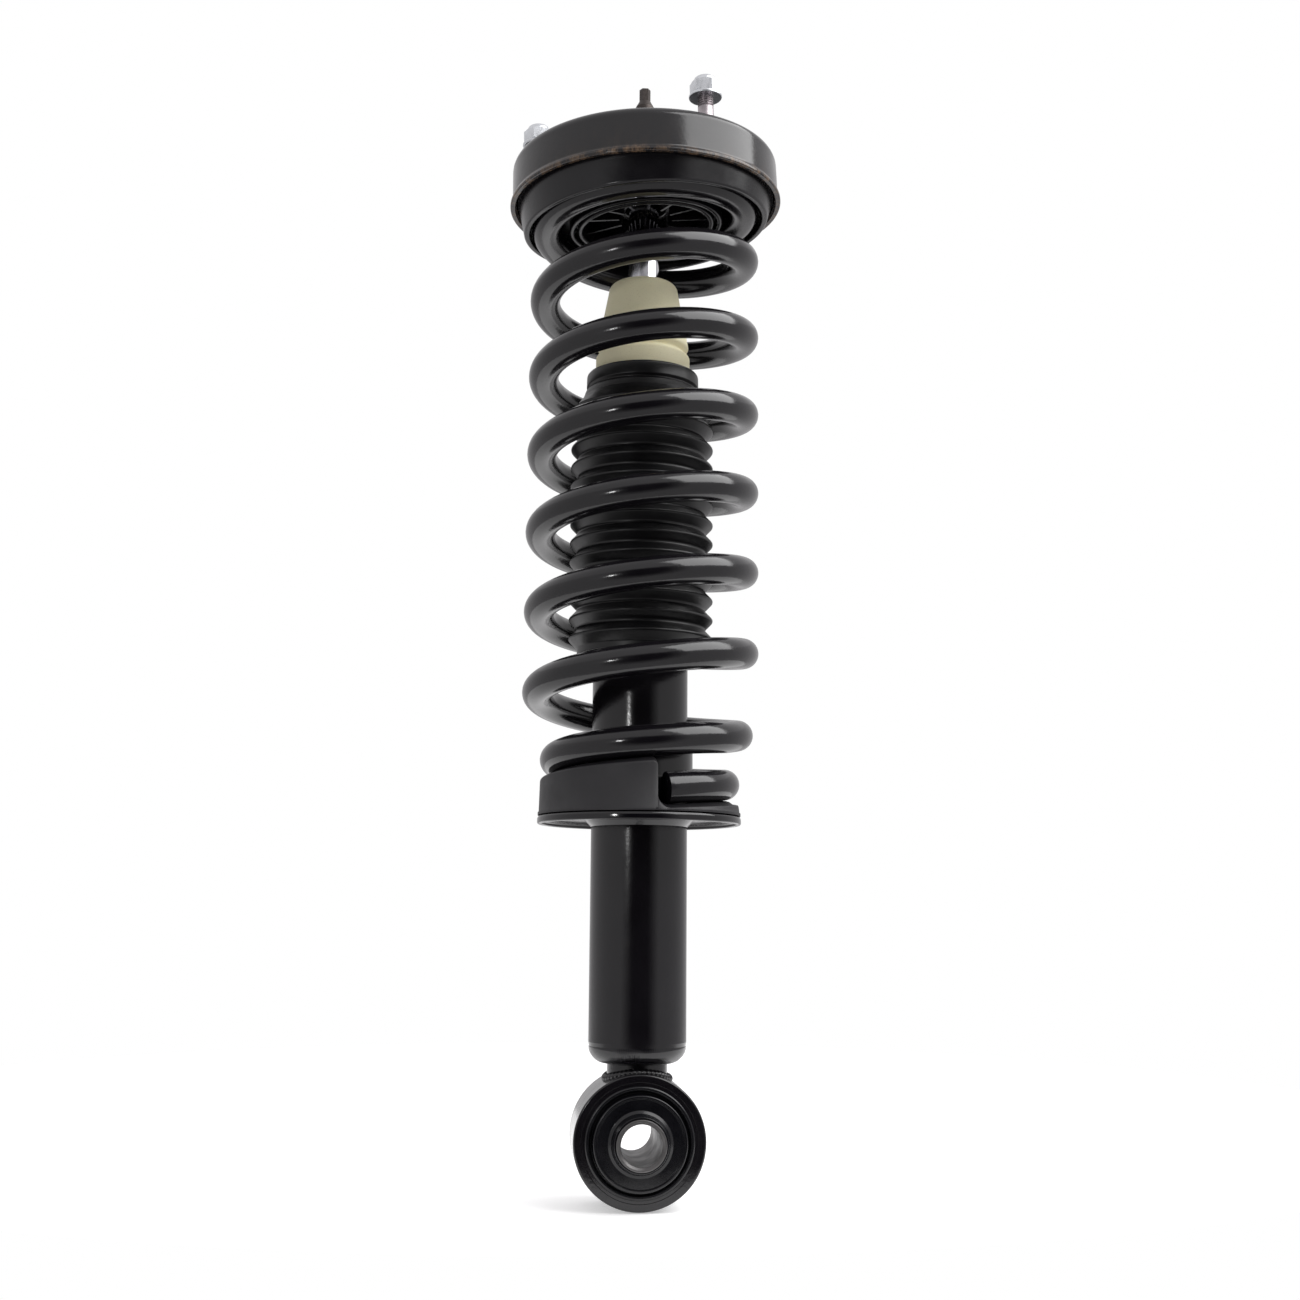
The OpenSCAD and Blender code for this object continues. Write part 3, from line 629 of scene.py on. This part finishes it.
def round_wire(obj, material):
    """Nodes that turn the line of points into a round wire, so that it stays round as the coils close."""
    tree = bpy.data.node_groups.new("round_wire", "GeometryNodeTree")
    tree.interface.new_socket("Geometry", in_out="INPUT", socket_type="NodeSocketGeometry")
    tree.interface.new_socket("Geometry", in_out="OUTPUT", socket_type="NodeSocketGeometry")
    add = tree.nodes.new
    source, sink = add("NodeGroupInput"), add("NodeGroupOutput")
    curve, circle = add("GeometryNodeMeshToCurve"), add("GeometryNodeCurvePrimitiveCircle")
    thick = add("GeometryNodeSetCurveRadius")
    share, tube = add("GeometryNodeInputNamedAttribute"), add("GeometryNodeCurveToMesh")
    smooth, finish = add("GeometryNodeSetShadeSmooth"), add("GeometryNodeSetMaterial")
    share.data_type = "FLOAT"
    share.inputs["Name"].default_value = "thickness"
    circle.inputs["Resolution"].default_value = 36
    circle.inputs["Radius"].default_value = WIRE_R * MM
    tube.inputs["Fill Caps"].default_value = True
    finish.inputs["Material"].default_value = material
    for a, b in (
        (source.outputs[0], curve.inputs["Mesh"]),
        (curve.outputs["Curve"], thick.inputs["Curve"]),
        (share.outputs["Attribute"], thick.inputs["Radius"]),
        (thick.outputs["Curve"], tube.inputs["Curve"]),
        (circle.outputs["Curve"], tube.inputs["Profile Curve"]),
        (tube.outputs["Mesh"], smooth.inputs["Geometry"]),
        (smooth.outputs["Geometry"], finish.inputs["Geometry"]),
        (finish.outputs["Geometry"], sink.inputs[0]),
    ):
        tree.links.new(a, b)
    obj.modifiers.new("round_wire", "NODES").node_group = tree


def coil_spring():
    """The wire, from a chamfered cut end on the lower seat to one inside the mount."""
    step = 4
    chamfer = (0.0, 0.35, 0.9)
    angles = list(chamfer) + [step * k for k in range(1, int(TOP_END / step))]
    angles += [TOP_END - a for a in reversed(chamfer)]
    thickness = [0.88, 0.96, 1.0] + [1.0] * (len(angles) - 6) + [1.0, 0.96, 0.88]
    mesh = bpy.data.meshes.new("coil_spring_wire")
    points = [tuple(c * MM for c in coil_point(a)) for a in angles]
    mesh.from_pydata(points, [(i, i + 1) for i in range(len(points) - 1)], [])
    mesh.attributes.new("thickness", "FLOAT", "POINT").data.foreach_set("value", thickness)
    obj = bpy.data.objects.new("coil_spring_wire", mesh)
    bpy.context.scene.collection.objects.link(obj)
    obj.data.materials.append(MATERIALS["black_paint"])
    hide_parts("coil_spring")
    round_wire(obj, MATERIALS["black_paint"])
    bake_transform(obj)


def spring_plate():
    """The pressed plate: a rolled rim, a flat, and a tall collar on the tube."""
    low = PERCH_Z - PERCH_T
    rim_low = PERCH_Z - PERCH_RIM
    collar_r = TUBE_R + COLLAR_T
    outline = rounded([
        (TUBE_R, low), (PERCH_R - PERCH_T, low, 1.6), (PERCH_R - PERCH_T, rim_low, 0.8),
        (PERCH_R, rim_low, 1.2), (PERCH_R, PERCH_Z, 2.6), (collar_r, PERCH_Z, 2.5),
        (collar_r, COLLAR_TOP, 1.2), (TUBE_R, COLLAR_TOP)])
    v, f = turned(outline)
    weighted(piece("spring_plate_pressed", v, f, "strut_body", "gloss_paint", "spring_plate"))


def pad_section(a):
    """Cross-section of the lower rubber at an angle along the wire, as (radius, height)."""
    under = coil_height(a) - WIRE_R
    mid = coil_radius(a)
    lip = under - PAD_LIP
    base = PERCH_Z
    foot = min(1.7, 0.3 * (lip - base))
    soft = min(1.5, 0.3 * (lip - base))
    return [
        (PAD_IN, base), (PERCH_R - 0.3, base), (PERCH_R - 0.3, base + foot),
        (PERCH_R - 0.9, base + 1.3 * foot), (PERCH_R - 1.4, lip - soft), (PERCH_R - 1.6, lip - soft / 2),
        (PERCH_R - 2.1, lip - soft / 7), (PERCH_R - 3.0, lip),
        (mid + 5.4, lip + 0.3), (mid + 3.4, under - 1.0), (mid + 1.7, under - 0.5), (mid, under - 0.4),
        (mid - 1.7, under - 0.5), (mid - 3.4, under - 1.0), (mid - 5.4, lip + 0.3),
        (PAD_IN + 1.6, lip + 0.3),
        (PAD_IN + 0.5, lip - 0.3)]


def lower_isolator():
    """The rubber ramp under the wire. It ends in a wall with a rounded top and a wide curve at its foot."""
    wall_a = 352.5
    top_r, foot_r = 3.2, 9.0
    degree = math.radians(1) * (PERCH_R - 1.5)
    rise = coil_height(wall_a) - coil_height(0)
    stations = []
    first = wall_a + foot_r / degree - 360
    last = wall_a - top_r / degree
    count = 130
    stations += [(first + (last - first) * k / count, None) for k in range(count)]
    for k in range(9):
        t = math.radians(90 - 90 * k / 8)
        stations.append((last + top_r * math.cos(t) / degree, rise - top_r + top_r * math.sin(t)))
    for k in range(1, 6):
        stations.append((wall_a, rise - top_r - (rise - top_r - foot_r) * k / 6))
    for k in range(12):
        t = math.radians(180 + 90 * k / 12)
        stations.append((wall_a + (foot_r + foot_r * math.cos(t)) / degree, foot_r + foot_r * math.sin(t)))
    rings = []
    for a, height in stations:
        section = pad_section(a)
        if height is not None:
            share = height / rise
            lower = pad_section(a - 360)
            section = [(r0 + (r1 - r0) * share, z0 + (z1 - z0) * share)
                       for (r1, z1), (r0, z0) in zip(section, lower)]
        az = math.radians(a + START)
        rings.append([(r * math.cos(az), r * math.sin(az), z) for r, z in section])
    v, f = loft(rings, True)
    piece("lower_isolator_moulded", v, f, "strut_body", "isolator_rubber", "lower_isolator", 50)


# ---------- Bumper and boot ----------

def foam_bumper():
    """Cream foam: a broad ring over the boot's collar, a groove, and a cone up to a rounded nose."""
    ring_low, ring_top = BOOT_TOP + 0.4, BOOT_TOP + 11.5
    groove = ring_top + 2.3
    bore = ROD_R + 0.3
    outline = rounded([
        (bore, BUMPER_LOW, 0.5), (BUMPER_R - 1.2, BUMPER_LOW, 0.8), (BUMPER_R - 1.2, ring_low, 0.2),
        (BUMPER_R, ring_low, 1.0), (BUMPER_R, ring_top, 2.4), (BUMPER_R - 4.6, groove, 1.3),
        (BUMPER_R - 0.7, groove + 3.8, 2.2), (NOSE_R + 0.6, BUMPER_TOP, 5.0), (bore, BUMPER_TOP, 1.0)], 7)
    v, f = turned(outline, 144)
    obj = piece("foam_bumper_moulded", v, f, "bumper", "cream_foam", "foam_bumper", 60)
    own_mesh(obj)


def dust_boot():
    """The boot: a collar of two rings clamped round the foam, and folds with rounded edges."""
    tuck = BUMPER_R - 1
    seam = BUMPER_LOW + 8
    outer = [(tuck, BOOT_TOP - 1.5, 0.6), (BOOT_COLLAR_R - 0.9, BOOT_TOP, 2.2),
             (BOOT_COLLAR_R - 0.7, seam + 2.6, 1.0), (BOOT_COLLAR_R - 2.4, seam + 0.8, 0.7),
             (BOOT_COLLAR_R, seam - 0.8, 1.0), (BOOT_COLLAR_R + 1.3, BUMPER_LOW + 3.2, 1.5)]
    crest, root, top = 1.5, 1.8, BUMPER_LOW
    for i in range(2 * FOLDS + 1):
        high = i % 2 == 1
        outer.append((BOOT_R - (0 if high else FOLD_DEPTH), top - i * FOLD_H / 2, crest if high else root))
    hem = top - FOLDS * FOLD_H - 4
    outer.append((BOOT_R - FOLD_DEPTH, hem, 0.6))
    inner = [(BOOT_R - FOLD_DEPTH - BOOT_WALL, hem, 0.6)]
    for i in range(2 * FOLDS, -1, -1):
        high = i % 2 == 1
        inner.append((BOOT_R - BOOT_WALL - (0 if high else FOLD_DEPTH), top - i * FOLD_H / 2,
                      root if high else crest))
    inner += [(BOOT_COLLAR_R - 2.5, BUMPER_LOW - 0.1, 0.6), (tuck, BUMPER_LOW, 0.4)]
    v, f = turned(rounded(outer + inner, 4), 144)
    obj = piece("dust_boot_moulded", v, f, "bumper", "boot_rubber", "dust_boot", 60)
    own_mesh(obj)


# ---------- Top mount ----------

def mount_cap():
    """The pressed cap: a skirt with a rolled lip, a flat top and a raised middle."""
    hat_r, hat_z, hole = 36, MOUNT_Z + 18, 24
    outline = rounded([
        (CAP_IN, LIP_Z + 4, 1.5), (CAP_IN + 1.6, LIP_Z, 0.6), (CAP_R + 1.7, LIP_Z, 1.1),
        (CAP_R + 1.7, LIP_Z + 2.2, 1.1), (CAP_R, LIP_Z + 4.2, 3.0), (CAP_R - 0.5, MOUNT_Z, 6.5),
        (hat_r + 6, MOUNT_Z, 2.5), (hat_r + 0.8, hat_z, 4.5), (hole, hat_z, 0.7), (hole, hat_z - CAP_T, 0.7),
        (hat_r - CAP_T, hat_z - CAP_T, 2), (hat_r + 4, MOUNT_Z - CAP_T, 3),
        (CAP_IN - 0.5, MOUNT_Z - CAP_T, 3.5)], 7)
    v, f = turned(outline, 180)
    obj = weighted(piece("mount_cap_pressed", leaned(v), f, "top_mount", "black_paint", "mount_cap",
                         material=CAP_PAINT))
    wear = []
    for x, y, z in v:
        near_lip = 1 - ease((z - LIP_Z - 1.5) / 4.5)
        outside = ease((math.hypot(x, y) - CAP_IN) / 2)
        wear.append(near_lip * outside)
    obj.data.attributes.new("wear", "FLOAT", "POINT").data.foreach_set("value", wear)


def spring_housing():
    """The rubber covered housing: outer wall, spring channel, two rims and the ribs inside them.
    Its lower edge slants, so everything below the cap's lip is drawn up or down with it."""
    low, top, groove = HOUSING_LOW, CEILING + 3, HOUSING_LOW + 8
    rim = CHANNEL_IN - RIM_WALL
    hub_out = HUB_LIP_R + RIM_WALL
    web = CEILING - 8
    rib_count, rib_t = 12, 3
    outline = rounded([
        (CAP_IN - 0.05, top), (CAP_IN - 0.05, LIP_Z + 3, 0.8), (CAP_IN - 0.9, LIP_Z + 1.6, 0.8),
        (CHANNEL_OUT + 3.4, low, 2.2), (CHANNEL_OUT, low, 1.0), (CHANNEL_OUT, CEILING, 2.5),
        (CHANNEL_IN, CEILING, 2.5), (CHANNEL_IN, low, 1.5), (rim, low, 1.5), (rim, groove, 0.8),
        (hub_out, groove, 0.8), (hub_out, low, 1.5), (HUB_LIP_R, low, 1.5), (HUB_LIP_R, web, 2.5),
        (HUB_R, web, 2.0), (HUB_R, BOSS_Z, 1.5),
        (ROD_R + 3, BOSS_Z, 1.0), (ROD_R + 3, top)], 6)
    ribs = []
    for k in range(rib_count):
        v, f = box_mesh((HUB_R - 1, -rib_t / 2, -(web + 1)), (HUB_LIP_R + 1, rib_t / 2, RIB_DROP - BOSS_Z),
                        2 * math.pi * k / rib_count, 0.6)
        ribs.append(([(x, y, -z) for x, y, z in v], f))
    v, f = join([turned(outline, 180)] + ribs)
    slanted = []
    for x, y, z in v:
        share = min(1.0, max(0.0, (LIP_Z - z) / (LIP_Z - low - 2)))
        along = x * math.cos(RIM_TURN) + y * math.sin(RIM_TURN)
        is_rim = math.hypot(x, y) > HUB_R + 0.1
        slanted.append((x, y, z + (along * math.tan(RIM_SLANT) * share if is_rim else 0)))
    weighted(piece("spring_housing_moulded", leaned(slanted), f, "top_mount", "housing_rubber",
                   "spring_housing"))


def upper_isolator():
    """The rubber cup between the housing and the wire, round most of a turn."""
    sweep, count = 300, 100
    r_in, r_out = CHANNEL_IN + 0.3, CHANNEL_OUT - 0.3
    rings = []
    for i in range(count + 1):
        a = TOP_END - sweep * (1 - i / count)
        over = coil_height(a) + WIRE_R + SEAT_GAP
        mid = coil_radius(a)
        section = [(r_in, CEILING), (r_in, over - 3), (r_in + 1.2, over - 3.2), (mid - 4.5, over - 0.5),
                   (mid, over), (mid + 4.5, over - 0.5), (r_out - 1.2, over - 3.2), (r_out, over - 3),
                   (r_out, CEILING)]
        az = math.radians(a + START)
        rings.append([(r * math.cos(az), r * math.sin(az), min(z, CEILING)) for r, z in section])
    v, f = loft(rings, False)
    piece("upper_isolator_moulded", leaned(v), f, "top_mount", "isolator_rubber", "upper_isolator", 50)


# ---------- Studs, nuts and the rod's thread ----------

def thread_radius(pitch, depth):
    """Radius of a thread's surface round a shaft."""
    def radius(r, z, a):
        turn = (z / pitch - a / (2 * math.pi)) % 1
        return r - depth * min(1, max(0, abs(turn - 0.5) * 2.6 - 0.3))
    return radius


def at_studs(make):
    """What make(k) gives at each stud, in the mount's own frame before it leans."""
    parts = []
    for k, angle in enumerate(STUD_ANGLES):
        az = math.radians(angle)
        v, f = make(k)
        x0, y0 = STUD_RING_R * math.cos(az), STUD_RING_R * math.sin(az)
        c, s = math.cos(az), math.sin(az)
        parts.append(([(x0 + x * c - y * s, y0 + x * s + y * c, MOUNT_Z + z) for x, y, z in v], f))
    v, f = join(parts)
    return leaned(v), f


def stud(k):
    """A head under the cap, a plain shank, and a thread to the top."""
    shank, top, pitch = 11.5, 28, 1.5
    rows = [(8.2, -6.8), (8.5, -6.5), (8.5, -3.4), (8.2, -3.02), (5.15, -3.0), (5.15, -0.2), (5.0, 0.1),
            (5.0, shank - 0.6), (4.75, shank)]
    thread_start = len(rows)
    count = int((top - 1 - shank) / pitch * 10)
    rows += [(4.95, shank + 0.3 + i * (top - 1.5 - shank) / count) for i in range(count + 1)]
    thread_end = len(rows)
    rows += [(4.1, top - 0.7), (3.4, top)]
    wave = thread_radius(pitch, 0.75)
    low, high = rows[thread_start][1], rows[thread_end - 1][1]
    return shaft(rows, 60, lambda r, z, a: wave(r, z, a) if low < z <= high else r)


def studs():
    v, f = at_studs(stud)
    piece("mount_studs_threaded", v, f, "top_mount", "zinc", "studs", 40, STUD_STEEL)


def stud_washers():
    def washer(k):
        low, high = NUT_LIFTS[k], NUT_LIFTS[k] + WASHER_T
        outline = rounded([(STUD_HOLE_R, low, 0.3), (WASHER_R, low, 0.6), (WASHER_R, high, 0.6),
                           (STUD_HOLE_R, high, 0.3)], 3)
        return turned(outline, 72)
    v, f = at_studs(washer)
    weighted(piece("stud_washers_pressed", v, f, "top_mount", "zinc", "stud_washers"))


def hex_nut(across, low, height, bore, crown_r, crown_top, crown_h, steps=120):
    """A hexagon nut with turned chamfers, and a crown that narrows above it."""
    flat, corner = across / 2, across / 2 / math.cos(math.radians(30))
    chamfer = (corner - flat) * 0.62
    rows = [(bore + 0.6, low, 0), (flat - 0.4, low, 0), (flat + 0.1, low + 0.15, 1),
            (corner + 0.1, low + chamfer, 1), (corner + 0.1, low + height - chamfer, 1),
            (flat + 0.1, low + height - 0.1, 1), (flat - 0.5, low + height, 0), (crown_r, low + height, 0),
            (crown_r - 0.15, low + height + crown_h * 0.35, 0),
            (crown_top + 0.7, low + height + crown_h * 0.8, 0),
            (crown_top, low + height + crown_h, 0), (bore, low + height + crown_h, 0),
            (bore, low + height + crown_h - 0.6, 0), (bore, low + 0.6, 0)]
    verts = []
    for k in range(steps):
        a = 2 * math.pi * k / steps
        hexagon = flat / math.cos((a + math.pi / 6) % (math.pi / 3) - math.pi / 6)
        for r, z, is_hex in rows:
            q = min(r, hexagon) if is_hex else min(r, hexagon - 0.05) if r < flat else r
            verts.append((q * math.cos(a), q * math.sin(a), z))
    return verts, grid_faces(steps, len(rows), True, True)


def stud_nuts():
    turns = [0.35, 0.1, 0.7]

    def nut(k):
        v, f = hex_nut(17, NUT_LIFTS[k] + WASHER_T, 8.5, STUD_HOLE_R, 7.4, 6.0, 3.2)
        c, s = math.cos(turns[k]), math.sin(turns[k])
        return [(x * c - y * s, x * s + y * c, z) for x, y, z in v], f
    v, f = at_studs(nut)
    weighted(piece("stud_nuts_crowned", v, f, "top_mount", "zinc", "stud_nuts", 28))


def rod_nut():
    v, f = hex_nut(19, MOUNT_Z + 14, 10, 6.05, 8.6, 8.0, 2)
    weighted(piece("rod_nut_flanged", v, f, "rod_assembly", "zinc", "rod_nut", 28))


def rod_thread():
    """The thread that shows above the rod's nut."""
    low, high, pitch = MOUNT_Z + 22, MOUNT_Z + 39, 1.25
    count = int((high - low) / pitch * 10)
    rows = [(5.6, low - 0.3)]
    rows += [(6.15, low + i * (high - low) / count) for i in range(count + 1)]
    rows.append((5.6, high + 0.3))
    wave = thread_radius(pitch, 0.6)
    v, f = shaft(rows, 60, lambda r, z, a: wave(r, z, a) if low <= z <= high else r)
    piece("rod_thread", v, f, "rod_assembly", "chrome_rod", None, 40)


# ---------- Camera, light and floor ----------

def camera():
    """A little left of the eye's axis, low, and looking up."""
    place = Vector((-87.0, -1049.4, 130.6)) * MM
    yaw, pitch, roll = math.radians(5.07), math.radians(9.13), math.radians(0.42)
    ahead = Vector((math.sin(yaw) * math.cos(pitch), math.cos(yaw) * math.cos(pitch), math.sin(pitch)))
    right0 = Vector((math.cos(yaw), -math.sin(yaw), 0))
    up0 = right0.cross(ahead)
    right = right0 * math.cos(roll) + up0 * math.sin(roll)
    up = up0 * math.cos(roll) - right0 * math.sin(roll)
    data = bpy.data.cameras.new("view")
    data.lens = 46.5
    data.clip_start, data.clip_end = 0.05, 60
    obj = bpy.data.objects.new("view", data)
    obj.matrix_world = Matrix((right, up, -ahead)).transposed().to_4x4()
    obj.location = place
    bpy.context.scene.collection.objects.link(obj)
    bpy.context.scene.camera = obj


def softbox(name, azimuth, elevation, distance, width, height, power, centre=(0, 0, 0.32)):
    """A soft light that faces the object. Azimuth 0 is in front, and positive is to the right."""
    az, el = math.radians(azimuth), math.radians(elevation)
    back = Vector((math.sin(az) * math.cos(el), -math.cos(az) * math.cos(el), math.sin(el)))
    data = bpy.data.lights.new(name, "AREA")
    data.shape, data.size, data.size_y, data.energy = "RECTANGLE", width, height, power
    obj = bpy.data.objects.new(name, data)
    obj.location = Vector(centre) + back * distance
    obj.rotation_mode = "QUATERNION"
    obj.rotation_quaternion = (-back).to_track_quat("-Z", "Y")
    bpy.context.scene.collection.objects.link(obj)


def studio():
    """A white room that is dark only low behind the camera, two softboxes and a pale floor."""
    world = bpy.data.worlds.new("studio")
    bpy.context.scene.world = world
    world.use_nodes = True
    tree = world.node_tree
    tree.nodes.clear()
    add = tree.nodes.new
    where, parts, brighter = add("ShaderNodeTexCoord"), add("ShaderNodeSeparateXYZ"), add("ShaderNodeMath")
    seen, room, lit = add("ShaderNodeLightPath"), add("ShaderNodeBackground"), add("ShaderNodeBackground")
    mix, out = add("ShaderNodeMixShader"), add("ShaderNodeOutputWorld")
    tree.links.new(where.outputs["Generated"], parts.inputs["Vector"])
    brighter.operation = "MAXIMUM"
    for i, (axis, dark_to, bright_from, dark, bright) in enumerate((
            ("Y", -0.94, -0.72, 0.01, 0.6), ("Z", 0.30, 0.44, 0.0, 0.8))):
        ramp = add("ShaderNodeMapRange")
        for key, number in (("From Min", dark_to), ("From Max", bright_from),
                            ("To Min", dark), ("To Max", bright)):
            ramp.inputs[key].default_value = number
        tree.links.new(parts.outputs[axis], ramp.inputs["Value"])
        tree.links.new(ramp.outputs["Result"], brighter.inputs[i])
    room.inputs["Color"].default_value = (1, 0.985, 1, 1)
    tree.links.new(brighter.outputs["Value"], room.inputs["Strength"])
    lit.inputs["Color"].default_value = (1, 1, 1, 1)
    tree.links.new(seen.outputs["Is Camera Ray"], mix.inputs["Fac"])
    tree.links.new(room.outputs["Background"], mix.inputs[1])
    tree.links.new(lit.outputs["Background"], mix.inputs[2])
    tree.links.new(mix.outputs["Shader"], out.inputs["Surface"])
    softbox("key", 64, 42, 1.5, 1.6, 1.3, 25)
    softbox("spark", -31, 0, 1.25, 0.1, 0.1, 1.2, (0, 0, 0.34))

    floor_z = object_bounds()[0].z - 0.0005
    size, behind, sides = 0.75, 0.6, 96
    rim = []
    for k in range(sides):
        a = 2 * math.pi * k / sides
        rim.append((size * math.cos(a), size * math.sin(a) + behind, floor_z))
    mesh = bpy.data.meshes.new("floor")
    mesh.from_pydata(rim, [], [tuple(range(sides))])
    floor = bpy.data.objects.new("floor", mesh)
    bpy.context.scene.collection.objects.link(floor)
    s = Shader("pale_floor", (0.86, 0.86, 0.86), 0.8, Emission_Strength=0.4)
    s.bsdf.inputs["Emission Color"].default_value = (1, 1, 1, 1)
    s.colour(s.mix(s.noise(3, 2), (0.88, 0.88, 0.88), (0.84, 0.84, 0.84)))
    mesh.materials.append(s.material)
    floor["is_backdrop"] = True
    bpy.context.scene.view_settings.view_transform = "Standard"


for build in (eye_ring, inner_sleeve, bush_rubber, eye_weld, base_weld,
              coil_spring, spring_plate, lower_isolator, foam_bumper, dust_boot,
              mount_cap, spring_housing, upper_isolator,
              studs, stud_washers, stud_nuts, rod_nut, rod_thread):
    build()
camera()
studio()
